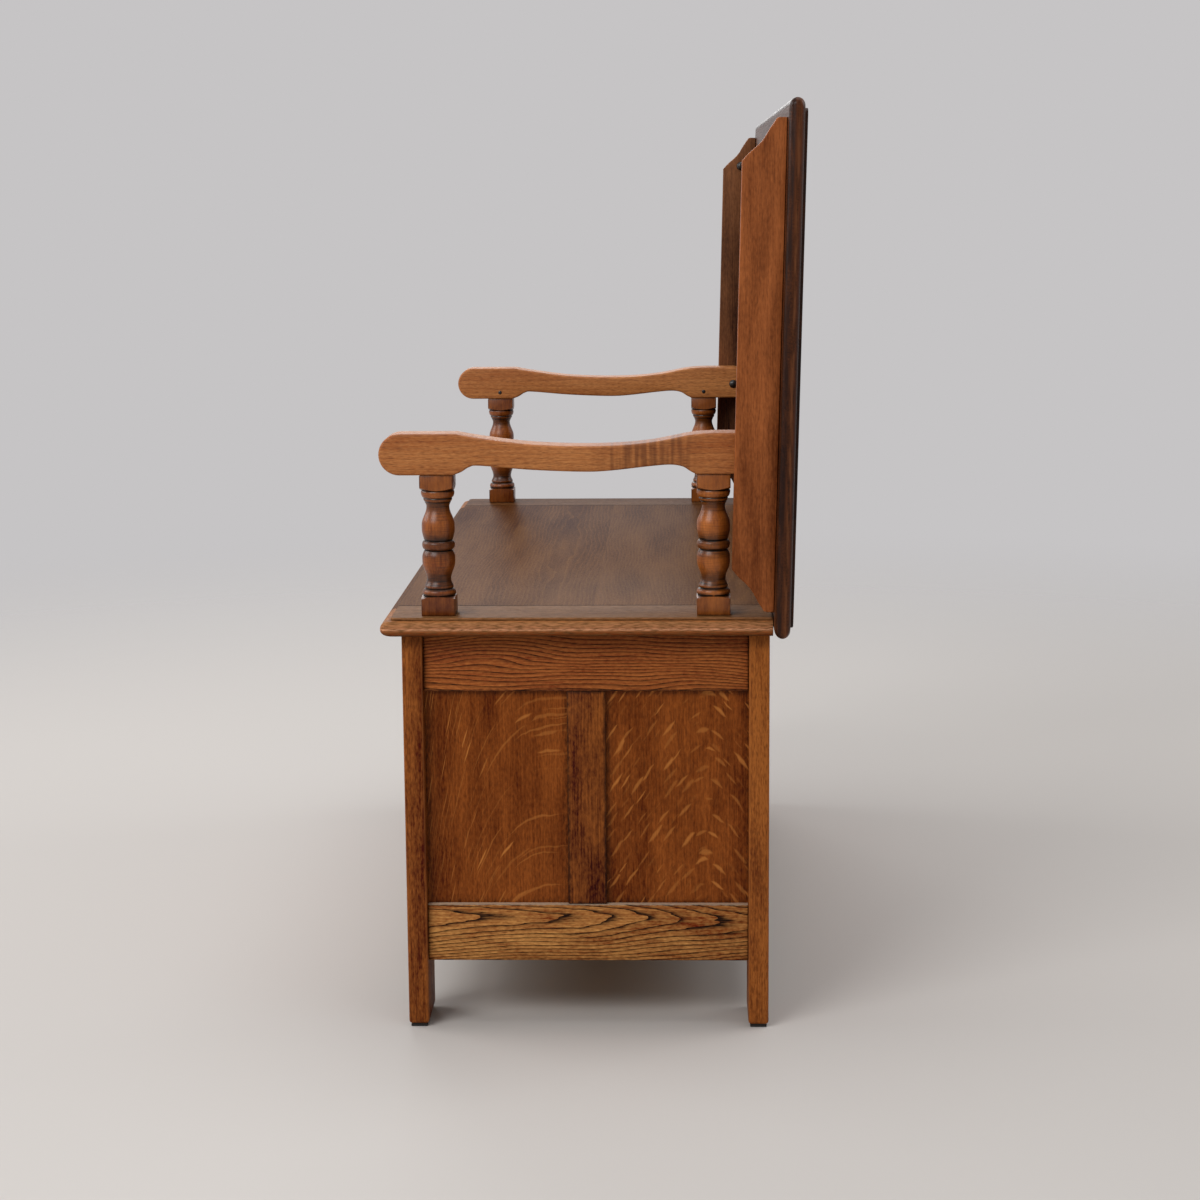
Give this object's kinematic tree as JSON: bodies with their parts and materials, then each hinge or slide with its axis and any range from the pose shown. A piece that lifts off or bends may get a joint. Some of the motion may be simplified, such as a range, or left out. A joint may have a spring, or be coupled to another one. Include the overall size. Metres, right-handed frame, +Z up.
{
  "type": "settle bench",
  "caption": "Oak settle bench: panelled chest base with a lifting seat lid, turned balusters, shaped arms and a back that turns over to make a table.",
  "frame": {"origin": "on the floor, under the middle of the whole bench with its back up", "axes": "+X along the bench to the right end as seen from the front, +Y from front to back, +Z up"},
  "size_m": [1.11, 0.4528, 1.0021],
  "materials": {
    "frame_oak": "reddish brown waxed oak, satin, eased arrises rubbed lighter",
    "rail_oak": "golden brown waxed oak with dark open grain, satin",
    "panel_oak": "quarter-sawn oak with light ray flecks, waxed satin",
    "seat_oak": "greyish brown waxed oak, worn satin",
    "arm_oak": "lighter orange brown waxed oak, handled smooth",
    "turned_oak": "dark stained turned oak, black in the grooves, semi-gloss",
    "table_oak": "very dark brown polished oak",
    "bearer_oak": "mottled reddish brown oak, satin",
    "inside_oak": "plain unfinished inside boards",
    "ebonised_wood": "black stained and polished wood",
    "glide_felt": "dark compressed felt pads",
    "hinge_brass": "aged brass, dull"
  },
  "bodies": {
    "bench": {"post_front_left": "frame_oak", "glide_front_left": "glide_felt", "baluster_front_left": "turned_oak", "dowel_front_left": "ebonised_wood", "end_panel_front_left": "panel_oak", "post_front_right": "frame_oak", "glide_front_right": "glide_felt", "baluster_front_right": "turned_oak", "dowel_front_right": "ebonised_wood", "end_panel_front_right": "panel_oak", "cleat_front": "inside_oak", "post_back_left": "frame_oak", "glide_back_left": "glide_felt", "baluster_back_left": "turned_oak", "dowel_back_left": "ebonised_wood", "end_panel_back_left": "panel_oak", "post_back_right": "frame_oak", "glide_back_right": "glide_felt", "baluster_back_right": "turned_oak", "dowel_back_right": "ebonised_wood", "end_panel_back_right": "panel_oak", "cleat_back": "inside_oak", "end_rail_top_left": "rail_oak", "end_rail_bottom_left": "rail_oak", "end_muntin_left": "frame_oak", "seat_strip_left": "seat_oak", "arm_left": "arm_oak", "hinge_leaf_fixed_left": "hinge_brass", "hinge_pin_left": "hinge_brass", "end_rail_top_right": "rail_oak", "end_rail_bottom_right": "rail_oak", "end_muntin_right": "frame_oak", "seat_strip_right": "seat_oak", "arm_right": "arm_oak", "hinge_leaf_fixed_right": "hinge_brass", "hinge_pin_right": "hinge_brass", "front_rail_top": "rail_oak", "front_rail_bottom": "rail_oak", "back_rail_top": "rail_oak", "back_rail_bottom": "rail_oak", "front_muntin_left": "frame_oak", "front_muntin_right": "frame_oak", "back_muntin": "frame_oak", "front_panel_left": "panel_oak", "front_panel_middle": "panel_oak", "front_panel_right": "panel_oak", "back_panel_left": "panel_oak", "back_panel_right": "panel_oak", "bottom_board": "inside_oak", "seat_strip_back": "seat_oak"},
    "table": {"table_top": "table_oak", "bearer_left": "bearer_oak", "bearer_right": "bearer_oak"},
    "lid": {"lid": "seat_oak", "hinge_leaf_lid_left": "hinge_brass", "hinge_leaf_lid_right": "hinge_brass"},
    "pivot_peg_left": {"pivot_peg_left": "ebonised_wood"},
    "pivot_peg_right": {"pivot_peg_right": "ebonised_wood"},
    "upper_peg_left": {"upper_peg_left": "ebonised_wood"},
    "upper_peg_right": {"upper_peg_right": "ebonised_wood"}
  },
  "joints": [
    {"name": "table_fold", "type": "hinge", "parent": "bench", "child": "table", "pos_m": [0, 0.17312, 0.632], "axis": [1, 0, 0], "range_deg": [0, 91.35]},
    {"name": "lid_hinge", "type": "hinge", "parent": "bench", "child": "lid", "pos_m": [0, 0.13932, 0.4633], "axis": [1, 0, 0], "range_deg": [-100, 0]},
    {"name": "pivot_peg_pull_left", "type": "slide", "parent": "bench", "child": "pivot_peg_left", "axis": [-1, 0, 0], "range_m": [-0.024, 0]},
    {"name": "pivot_peg_pull_right", "type": "slide", "parent": "bench", "child": "pivot_peg_right", "axis": [1, 0, 0], "range_m": [-0.024, 0]},
    {"name": "upper_peg_pull_left", "type": "slide", "parent": "table", "child": "upper_peg_left", "axis": [-1, 0, 0], "range_m": [-0.014, 0]},
    {"name": "upper_peg_pull_right", "type": "slide", "parent": "table", "child": "upper_peg_right", "axis": [1, 0, 0], "range_m": [-0.014, 0]}
  ]
}
